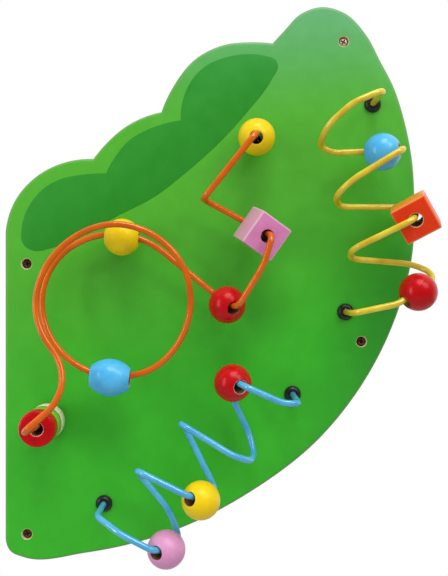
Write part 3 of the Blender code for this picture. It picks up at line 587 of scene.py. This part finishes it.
def plated_steel(name, metallic, bright, stain, gloss, lit_head=None):
    """Pressed or threaded steel with a thin plating. It shows as metal with cloudy stains and fine scratches; for the
    screws it also carries painted light and shade.
    """
    material, tree, shader = new_finish(name, Metallic=metallic)
    place = add(tree, "ShaderNodeTexCoord", {}).outputs["Object"]
    # Stains are about 1.5 mm across; scratches are 0.1 mm wide and are drawn at 0.3 mm.
    cloud = noise(tree, place, 0.0015, 3.0)
    drawn = add(tree, "ShaderNodeMapping", {}, Vector=place, Scale=(1.0, 1.0, 0.15))
    scratch = noise(tree, drawn.outputs["Vector"], 0.0003, 2.0)
    shade = laid_over(tree, ranged(tree, cloud, 0.35, 0.65), bright, stain)
    if lit_head:
        # Painted light and shade on the screws: the top screw, above Z = 150 mm, is painted pale as painted light,
        # and the cross recesses and the ground round the heads, deeper than Y = -12.9 mm, are painted dark as painted
        # shade.
        parts = add(tree, "ShaderNodeSeparateXYZ", {}, Vector=place).outputs
        top = add(tree, "ShaderNodeMath", {"operation": "GREATER_THAN"}, n0=parts["Z"], n1=0.150)
        shade = laid_over(tree, top.outputs["Value"], shade, lit_head)
        shade = laid_over(tree, ranged(tree, parts["Y"], -0.0129, -0.0124, 0.0, 0.9), shade, linear("#2a140c"))
    dress(tree, shader, shade, scratch, gloss, scratch, 0.2, 0.00002)
    return material


# Both paints carry painted light and shade in their four tones: paler at the left and the top, darker at the lower
# right.
board_green = sprayed_board_paint(
    "satin_green_board_paint", [linear(c) for c in ("#32b31c", "#4bae22", "#5dad6d", "#289820")], linear("#74935a"),
)
patch_green = sprayed_board_paint(
    "satin_dark_green_patch_paint", [linear(c) for c in ("#1f8f18", "#1e8f18", "#17952b", "#1c8a18")],
    linear("#3c9a40"),
)
# The bare core shows in the sinks of the screws and in the recesses at the back, the bore inside the beads.
raw_board = bare_beech("bare_board_core", linear("#dcd4a8"), linear("#bfb283"), 0.7)
beech = bare_beech("matt_beech", linear("#efe7d2"), linear("#dccfae"), 0.5)
dark_bore = bare_beech("drilled_beech_bore", linear("#b07e56"), linear("#8a5c3c"), 0.9)
# Pale beech for the worn lips of holes, also a painted highlight where the rim catches the light.
pale_rim = bare_beech("worn_and_lit_beech_rim", linear("#e8c8b8"), linear("#c79a84"), 0.6)
orange_enamel = wire_enamel("orange_wire_enamel", linear("#d86208"), linear("#cb5604"), linear("#ffdcae"))
yellow_enamel = wire_enamel("yellow_wire_enamel", linear("#e2cc36"), linear("#cfae16"), linear("#fffbe2"))
blue_enamel = wire_enamel("blue_wire_enamel", linear("#58b2dc"), linear("#46a0d0"), linear("#defcfa"))
# Lacquers: name, roughness, colour, where it lies thicker, where it is worn and, on a cube's rounded edges, its
# painted highlight, its gleam, and a cube's end faces, partly painted light.
LACQUERS = {
    finish: bead_lacquer(name, dull, *[linear(code) for code in codes])
    for finish, (name, dull, *codes) in {
        "red": ("red_bead_lacquer", 0.27, "#c2030f", "#b5020c", "#d8402e", "#ffb4b0"),
        "yellow": ("yellow_bead_lacquer", 0.34, "#f2d114", "#ecc70c", "#f6dd84", "#ffe9a0"),
        "sky_blue": ("sky_blue_bead_lacquer", 0.26, "#58bbea", "#46ace4", "#a5d6ee", "#e0f4ff"),
        "pink": ("pink_bead_lacquer", 0.36, "#da97c3", "#d28bb9", "#eebfd8", "#fff0fa"),
        "pink_cube": ("pink_cube_lacquer", 0.4, "#dc86bc", "#d47cb2", "#e2bcc4", "#fff0fa", "#d498b2"),
        "orange_red": ("orange_red_cube_lacquer", 0.34, "#e9390a", "#df3206", "#f08a5c", "#ffd0b0", "#ee8a26"),
        "lime": ("lime_bead_lacquer", 0.3, "#84c53a", "#78ba30", "#b5d78a", "#f2ffd8"),
    }.items()
}
LACQUERS["clear_beech"] = beech
SLOTS = {
    "red": "red_lacquer", "yellow": "yellow_lacquer", "sky_blue": "sky_blue_lacquer", "pink": "pink_lacquer",
    "pink_cube": "pink_lacquer", "orange_red": "orange_red_lacquer", "lime": "lime_lacquer",
    "clear_beech": "natural_wood",
}
# These beads show a pale lip at the hole: bare wood where it is worn, and a painted highlight where the rim catches
# the light.
PALE_LIPS = (
    "blue_wire_red_ball", "red_disc", "yellow_wire_blue_ball", "ring_blue_barrel", "yellow_wire_orange_cube",
)
black_plastic = moulded_black_plastic("moulded_black_plastic")
washer_steel = plated_steel("zinc_plated_spring_steel", 1.0, linear("#c9ccd0"), linear("#a9adb4"), (0.25, 0.4))
# Screw steel: a dark red-brown that stands in for the shade on heads deep in their sinks (painted shade); the top
# screw's head is painted pale (painted light).
screw_steel = plated_steel("yellow_zinc_screw_steel_lit_and_shaded", 0.6, linear("#8a5a42"), linear("#4c2c20"), (0.3, 0.5),
                           lit_head=linear("#f6dcc0"))
rod_steel = plated_steel("cut_steel_rod", 1.0, linear("#b4b6b8"), linear("#8b8d90"), (0.35, 0.55))

# The board

# Its holes as (radius, height off the front) in millimetres. A wire's hole has room for the collar's barrel
# and, at the back, for the washer. A screw's hole is sunk for the head.
WIRE_HOLE = ((0, 2), (4.85, 2), (4.85, -11.5), (7.55, -11.5), (7.55, -17), (0, -17))
SCREW_HOLE = ((0, 2), (6.7, 2), (4.2, -0.5), (4.2, -3.5), (2.3, -3.5), (2.3, -17), (0, -17))
HOLE_SIDES = 40
# The material number of the faces that the holes leave; the painted ones have 0.
RAW = 1

quarter = [math.radians(a) for a in range(0, 91, 15)]
board_rings = [(BACK_ROUNDING * (1 - math.sin(a)), BACK_ROUNDING * (1 - math.cos(a))) for a in quarter[::2]]
board_rings += [
    (FRONT_ROUNDING * (1 - math.cos(a)), BOARD_THICKNESS - FRONT_ROUNDING * (1 - math.sin(a))) for a in quarter
]
board_mesh = slab("painted_board", closed_outline(OUTLINE), board_rings)
wire_hole, screw_hole = (
    turned(name, profile, HOLE_SIDES, closed=False, parts=[RAW] * (len(profile) - 1))
    for name, profile in (("wire_hole", WIRE_HOLE), ("screw_hole", SCREW_HOLE))
)
for mesh in (board_mesh, wire_hole, screw_hole):
    mesh.materials.append(board_green)
    mesh.materials.append(raw_board)
holes = [(wire_hole, facing_out(x, z)) for x, z in WIRE_ENDS.values()]
holes += [(screw_hole, facing_out(x, z)) for x, z in SCREW_PLACES]
board_mesh = cut(board_mesh, holes)
board_mesh.shade_smooth()
board_mesh.set_sharp_from_angle(angle=math.radians(28))
piece("painted_board", board_mesh, "panel", "board_paint", "board")

patch_mesh = slab("dark_green_patch", closed_outline(PATCH), [
    (PATCH_COAT * drawn, BOARD_THICKNESS + PATCH_COAT * up) for drawn, up in ((0, -0.5), (0, 0.4), (0.3, 0.8), (1, 1))
])
patch_mesh.materials.append(patch_green)
patch_mesh.shade_smooth()
patch_mesh.set_sharp_from_angle(angle=math.radians(50))
piece("dark_green_patch", patch_mesh, "panel", "board_paint")

# The wires: one tree draws a round rod along a route.

rod_tree, given, made = geometry_tree("bent_rod", (
    ("Rod Radius", "NodeSocketFloat"), ("Rod Sides", "NodeSocketInt"), ("Finish", "NodeSocketMaterial"),
))
rod_line = add(rod_tree, "GeometryNodeMeshToCurve", {}, Mesh=given["Geometry"])
rod_circle = add(rod_tree, "GeometryNodeCurvePrimitiveCircle", {}, Resolution=given["Rod Sides"],
                 Radius=given["Rod Radius"])
rod_tube = add(rod_tree, "GeometryNodeCurveToMesh", {}, Curve=rod_line.outputs["Curve"],
               Profile_Curve=rod_circle.outputs["Curve"], Fill_Caps=True)
rod_smooth = add(rod_tree, "GeometryNodeSetShadeSmooth", {}, Geometry=rod_tube.outputs["Mesh"])
rod_real = add(rod_tree, "GeometryNodeRealizeInstances", {}, Geometry=rod_smooth.outputs["Geometry"])
rod_done = add(rod_tree, "GeometryNodeSetMaterial", {}, Geometry=rod_real.outputs["Geometry"],
               Material=given["Finish"])
rod_tree.links.new(rod_done.outputs["Geometry"], made["Geometry"])

for name, route, enamel in (
    ("orange_wire", orange_route(), orange_enamel),
    ("yellow_wire", bent_route(corner_rows(YELLOW_WIRE)), yellow_enamel),
    ("blue_wire", bent_route(corner_rows(BLUE_WIRE)), blue_enamel),
):
    line = bpy.data.meshes.new(f"{name}_route")
    line.from_pydata([point * MM for point in route], [(i, i + 1) for i in range(len(route) - 1)], [])
    rod = grown(f"{name}_route", line, rod_tree,
                {"Rod Radius": WIRE_DIAMETER / 2 * MM, "Rod Sides": WIRE_SIDES, "Finish": enamel})
    rod.set_sharp_from_angle(angle=math.radians(60))
    piece(f"enamelled_{name}", rod, "panel", f"{name}_enamel", name)

# Fittings that repeat: one tree sets a shape on each point of the board, with a turn of its own.

FITTING_SEED = 4
STEEL_SIDES = 32
fitting_tree, given, made = geometry_tree("fittings", (
    ("Shape", "NodeSocketObject"), ("Finish", "NodeSocketMaterial"), ("Greatest Turn", "NodeSocketFloat"),
    ("Seed", "NodeSocketInt"),
))
shape = add(fitting_tree, "GeometryNodeObjectInfo", {"transform_space": "ORIGINAL"}, Object=given["Shape"])
spin = add(fitting_tree, "FunctionNodeRandomValue", {"data_type": "FLOAT"}, n2=0.0,
           n3=given["Greatest Turn"], Seed=given["Seed"])
own_turn = add(fitting_tree, "ShaderNodeCombineXYZ", {}, Z=spin.outputs[1])
lay_flat = add(fitting_tree, "FunctionNodeRotateEuler", {"rotation_type": "EULER", "space": "OBJECT"},
               Rotation=own_turn.outputs["Vector"], Rotate_By=(math.pi / 2, 0, 0))
set_down = add(fitting_tree, "GeometryNodeInstanceOnPoints", {}, Points=given["Geometry"],
               Instance=shape.outputs["Geometry"], Rotation=lay_flat.outputs["Rotation"])
real = add(fitting_tree, "GeometryNodeRealizeInstances", {}, Geometry=set_down.outputs["Instances"])
finished = add(fitting_tree, "GeometryNodeSetMaterial", {}, Geometry=real.outputs["Geometry"],
               Material=given["Finish"])
fitting_tree.links.new(finished.outputs["Geometry"], made["Geometry"])


def fittings(name, shape_mesh, places, finish, most_turn, slot, nodes):
    """One piece that holds a fitting at each place on the board's front."""
    pattern = bpy.data.objects.new(f"{name}_pattern", shape_mesh)
    bpy.context.scene.collection.objects.link(pattern)
    points = bpy.data.meshes.new(f"{name}_points")
    points.from_pydata([Vector((x, -BOARD_THICKNESS, z)) * MM for x, z in places], [], [])
    mesh = grown(f"{name}_points", points, fitting_tree,
                 {"Shape": pattern, "Finish": finish, "Greatest Turn": most_turn, "Seed": FITTING_SEED})
    bpy.data.objects.remove(pattern)
    mesh.set_sharp_from_angle(angle=math.radians(35))
    piece(name, mesh, "panel", slot, *nodes)


# A collar: a dome on the board, a hollow barrel down the hole, and the wire's hole through both.
ends = list(WIRE_ENDS)
COLLAR_SIDES = 48
SEAT = 0.3
dome = [
    (3.5 + 3.5 * math.cos(a), SEAT + 3.7 * math.sin(a)) for a in (math.radians(d) for d in range(0, 91, 10))
]
collar = turned("collar", dome + [
    (3.1, 3.95), (2.85, 3.6), (2.8, 3.0), (2.8, -8), (4.5, -8), (4.5, SEAT), (6.8, SEAT),
], COLLAR_SIDES)
fittings("domed_collars", collar, WIRE_ENDS.values(), black_plastic, 0.0, "black_plastic",
         [f"{end}_collar" for end in ends])

# A push-on washer: a dished rim with eight sprung teeth that bite on the wire. Millimetres, off the board's front.
WASHER_SLICES = 96
SLICES_PER_TOOTH = 12
GAP_SLICES = (0, 1, 11)
RIM_RADIUS = 6.5
RIM_HEIGHT = -11.8
GAP_RADIUS = 4.3
TOOTH_RADIUS = 2.65
DISH_SLOPE = 0.8 / 3.7
WASHER_THICKNESS = 0.6

work = bmesh.new()
for k in range(WASHER_SLICES):
    inner, outer = [], []
    for step in (k, (k + 1) % WASHER_SLICES):
        angle = FULL_TURN * step / WASHER_SLICES
        radius = GAP_RADIUS if step % SLICES_PER_TOOTH in GAP_SLICES else TOOTH_RADIUS
        lift = DISH_SLOPE * (RIM_RADIUS - radius)
        inner.append((radius * math.cos(angle), radius * math.sin(angle), RIM_HEIGHT - lift))
        outer.append((RIM_RADIUS * math.cos(angle), RIM_RADIUS * math.sin(angle), RIM_HEIGHT))
    work.faces.new([work.verts.new(Vector(corner) * MM) for corner in inner + outer[::-1]])
bmesh.ops.remove_doubles(work, verts=work.verts, dist=1e-6)
bmesh.ops.recalc_face_normals(work, faces=work.faces)
bmesh.ops.solidify(work, geom=work.faces, thickness=WASHER_THICKNESS * MM)
washer = bpy.data.meshes.new("push_washer")
work.to_mesh(washer)
work.free()
washer.shade_smooth()
fittings("push_washers", washer, WIRE_ENDS.values(), washer_steel, 0.7, "spring_steel",
         [f"{end}_push_washer" for end in ends])

rod_end = turned("rod_end", ((0, -12.75), (1.9, -12.72), (2.15, -12.6), (2.15, -12.4), (0, -12.4)), STEEL_SIDES,
                 closed=False)
fittings("cut_rod_ends", rod_end, WIRE_ENDS.values(), rod_steel, 3.0, "spring_steel", ())

# A wall screw: a point, ten threads that widen from it, and a low dome with a cross recess.
THREADS = 10
THREAD_PITCH = 0.95
FIRST_THREAD = -13.2
THREAD_RADIUS = 1.9
THREAD_ROOT = 0.72
THREAD_HALF_WIDTH = 0.3
HEAD_TOP = -1.95
CROSS_SIZE = (4.4, 1.15, 2.8)

head = [(3.8, -3.2), (3.8, -2.9), (3.6, -2.6), (3.1, -2.3), (2.2, -2.08), (1.1, -1.97), (0, HEAD_TOP)]
shank = [(0, -14.0), (0.25, -13.9)]
for k in range(THREADS):
    height = FIRST_THREAD + k * THREAD_PITCH
    reach = min(THREAD_RADIUS, 0.7 + k * 0.45)
    shank += [
        (reach * THREAD_ROOT, height - THREAD_HALF_WIDTH), (reach, height),
        (reach * THREAD_ROOT, height + THREAD_HALF_WIDTH),
    ]
shank += [(1.45, -3.6), (1.45, -3.2)]
screw = turned("wall_screw", shank + head, STEEL_SIDES, closed=False)
cross_arm = bpy.data.meshes.new("cross_arm")
work = bmesh.new()
bmesh.ops.create_cube(work, size=1)
bmesh.ops.scale(work, vec=Vector(CROSS_SIZE) * MM, verts=work.verts)
work.to_mesh(cross_arm)
work.free()
cross = [
    (cross_arm, Matrix.Translation((0, 0, HEAD_TOP * MM)) @ Matrix.Rotation(a, 4, "Z")) for a in (0, math.pi / 2)
]
fittings("wall_screws", cut(screw, cross), SCREW_PLACES, screw_steel, 1.5, "screw_steel",
         [f"wall_screw_{n}" for n in (1, 2, 3, 4)])

# The beads

BEAD_SIDES = 72
BEAD_STEPS = 40
LACQUERED, LIP, BORE = 0, 1, 2


def hole_lip(half, bore):
    """The rounded mouth of a hole at a height of half, from outside to inside."""
    turn = [math.radians(a) for a in (0, 22, 45, 68, 90)]
    return [(bore + LIP_ROUNDING * (1 - math.sin(a)), half - LIP_ROUNDING * (1 - math.cos(a))) for a in turn]


def bead_mesh(shape, thickness=0.0):
    """A turned bead about its hole. Its faces are numbered as lacquered, lip or bore."""
    if shape == "disc":
        rim = [math.radians(a) for a in range(0, 91, 15)]
        outside = [
            (DISC_RADIUS - DISC_ROUNDING * (1 - math.sin(a)), DISC_ROUNDING * (1 - math.cos(a))) for a in rim
        ]
        outside += [(radius, thickness - height) for radius, height in reversed(outside)]
        outside.reverse()
        top = hole_lip(thickness, HOLE_RADIUS)
        bottom = [(radius, thickness - height) for radius, height in top]
    elif shape == "barrel":
        turns = [math.pi * k / BEAD_STEPS for k in range(BEAD_STEPS + 1)]
        outside = [
            (BARREL_END_RADIUS + BARREL_BELLY * math.sin(a) ** 1.8, BARREL_HALF_LENGTH * math.cos(a)) for a in turns
        ]
        top = hole_lip(BARREL_HALF_LENGTH, BARREL_HOLE_RADIUS)
        bottom = [(radius, -height) for radius, height in top]
    else:
        start = math.asin((HOLE_RADIUS + LIP_ROUNDING) / BALL_RADIUS)
        angles = [start + (math.pi - 2 * start) * k / BEAD_STEPS for k in range(1, BEAD_STEPS)]
        outside = [(BALL_RADIUS * math.sin(a), BALL_RADIUS * math.cos(a)) for a in angles]
        top = hole_lip(BALL_RADIUS * math.cos(start), HOLE_RADIUS)
        bottom = [(radius, -height) for radius, height in top]
    profile = outside + bottom + top[::-1]
    mouth = [LIP] * (len(top) - 1)
    parts = [LACQUERED] * len(outside) + mouth + [BORE] + mouth + [LACQUERED]
    return turned(shape, profile, BEAD_SIDES, parts=parts)


def cube_mesh():
    """A cube with rounded edges, drilled along local Z. Its faces are numbered as a turned bead's are."""
    work = bmesh.new()
    bmesh.ops.create_cube(work, size=CUBE_EDGE * MM)
    mesh = bpy.data.meshes.new("cube")
    work.to_mesh(mesh)
    work.free()
    round_edges(mesh, CUBE_ROUNDING, 4)
    lip = hole_lip(CUBE_EDGE / 2, HOLE_RADIUS)
    past = CUBE_EDGE / 2 + 2
    mouth = [(0, past), (lip[0][0], past)] + lip
    profile = mouth + [(radius, -height) for radius, height in reversed(mouth)]
    lips = [LIP] * (len(mouth) - 1)
    drill = turned("cube_drill", profile, BEAD_SIDES, closed=False, parts=lips + [BORE] + lips)
    for part in (mesh, drill):
        for _ in range(3):
            part.materials.append(None)
    return cut(mesh, [(drill, Matrix.Identity(4))])


def finished_bead(name, mesh, finish, where):
    """Gives a bead its finishes and its place, and makes it a piece that rides on its own body."""
    keep_place(mesh)
    lip = pale_rim if name in PALE_LIPS else LACQUERS[finish]
    for number, material in enumerate((LACQUERS[finish], lip, dark_bore)):
        if number < len(mesh.materials):
            mesh.materials[number] = material
        else:
            mesh.materials.append(material)
    mesh.transform(where)
    mesh.shade_smooth()
    mesh.set_sharp_from_angle(angle=math.radians(40))
    piece(f"{name}_bead", mesh, name, SLOTS[finish], name)


for name, (shape_name, finish, middle, direction, side) in BEADS.items():
    mesh = cube_mesh() if shape_name == "cube" else bead_mesh(shape_name)
    finished_bead(name, mesh, finish, along(direction, middle, side))
for name, (finish, thickness, height) in DISCS.items():
    finished_bead(name, bead_mesh("disc", thickness), finish, facing_out(*DISC_AXIS, height - BOARD_THICKNESS))

# Floor, light and camera

FLOOR_LEVEL = -1.1
FLOOR_REACH = 3.0
FLOOR_BACK = 2.2

floor_mesh = bpy.data.meshes.new("floor")
floor_mesh.from_pydata([
    (-FLOOR_REACH, -FLOOR_REACH, FLOOR_LEVEL), (FLOOR_REACH, -FLOOR_REACH, FLOOR_LEVEL),
    (FLOOR_REACH, FLOOR_BACK, FLOOR_LEVEL), (-FLOOR_REACH, FLOOR_BACK, FLOOR_LEVEL),
], [], [(0, 1, 2, 3)])
floor = bpy.data.objects.new("floor", floor_mesh)
bpy.context.scene.collection.objects.link(floor)
# Pale sealed floor: it keeps the panel's shadow and runs out to white between 1.25 and 2.35 m away.
floor_paint, tree, shader = new_finish("pale_studio_floor", Roughness=0.8, Base_Color=linear("#c8c8c6"))
floor_rays = add(tree, "ShaderNodeLightPath", {})
distance = add(tree, "ShaderNodeVectorMath", {"operation": "LENGTH"},
               n0=add(tree, "ShaderNodeTexCoord", {}).outputs["Object"])
run_out = ranged(tree, distance.outputs["Value"], 1.25, 2.35, easing="SMOOTHSTEP")
white = add(tree, "ShaderNodeEmission", {},
            Strength=ranged(tree, floor_rays.outputs["Is Camera Ray"], 0.0, 1.0, 0.42, 1.0))
blended = add(tree, "ShaderNodeMixShader", {}, n0=run_out, n1=shader.outputs["BSDF"],
              n2=white.outputs["Emission"])
tree.links.new(blended.outputs["Shader"], tree.nodes["Material Output"].inputs["Surface"])
floor_mesh.materials.append(floor_paint)

world = bpy.data.worlds.new("studio")
bpy.context.scene.world = world
world.use_nodes = True
tree = world.node_tree
rays = add(tree, "ShaderNodeLightPath", {})
seen = add(tree, "ShaderNodeMath", {"operation": "MAXIMUM"}, n0=rays.outputs["Is Camera Ray"],
           n1=rays.outputs["Is Transmission Ray"])
# What a glossy surface mirrors: the white backdrop behind the panel, and a dimmer room in front of it.
direction = add(tree, "ShaderNodeSeparateXYZ", {}, Vector=add(tree, "ShaderNodeTexCoord", {}).outputs["Generated"])
room = ranged(tree, direction.outputs["Y"], -0.5, 0.3, 0.13, 1.0, "SMOOTHSTEP")
# What lights the panel besides the lamps: a broad soft ceiling.
ceiling = ranged(tree, direction.outputs["Z"], -0.4, 0.95, 0.43, 0.69, "SMOOTHSTEP")
soft = add(tree, "ShaderNodeMix", {"data_type": "FLOAT"}, n0=rays.outputs["Is Glossy Ray"], n2=ceiling, n3=room)
strength = add(tree, "ShaderNodeMath", {"operation": "MAXIMUM"}, n0=seen.outputs["Value"], n1=soft.outputs[0])
tree.nodes["Background"].inputs["Color"].default_value = (1, 1, 1, 1)
tree.links.new(strength.outputs["Value"], tree.nodes["Background"].inputs["Strength"])


def softbox(name, place, width, height, watts):
    """A white lamp that faces the panel, with sizes in metres."""
    lamp = bpy.data.lights.new(name, "AREA")
    lamp.shape = "RECTANGLE"
    lamp.size = width
    lamp.size_y = height
    lamp.energy = watts
    obj = bpy.data.objects.new(name, lamp)
    bpy.context.scene.collection.objects.link(obj)
    obj.location = place
    obj.rotation_euler = (-Vector(place)).to_track_quat("-Z", "Y").to_euler()


softbox("softbox_above", (0.48, -2.42, 4.35), 2.6, 2.6, 131)
softbox("softbox_right", (1.27, -1.27, 1.27), 0.9, 0.9, 12)
softbox("softbox_left", (-1.52, -1.10, 0.25), 0.3, 1.2, 8)

camera = bpy.data.objects.new("camera", bpy.data.cameras.new("camera"))
bpy.context.scene.collection.objects.link(camera)
camera.data.lens = 50
camera.data.sensor_fit = "VERTICAL"
camera.data.sensor_height = 36
camera.data.clip_start = 0.01
camera.location = (0.0117, -0.6817, -0.005)
camera.rotation_euler = (math.pi / 2, 0, 0)
bpy.context.scene.camera = camera
bpy.context.scene.view_settings.view_transform = "Standard"
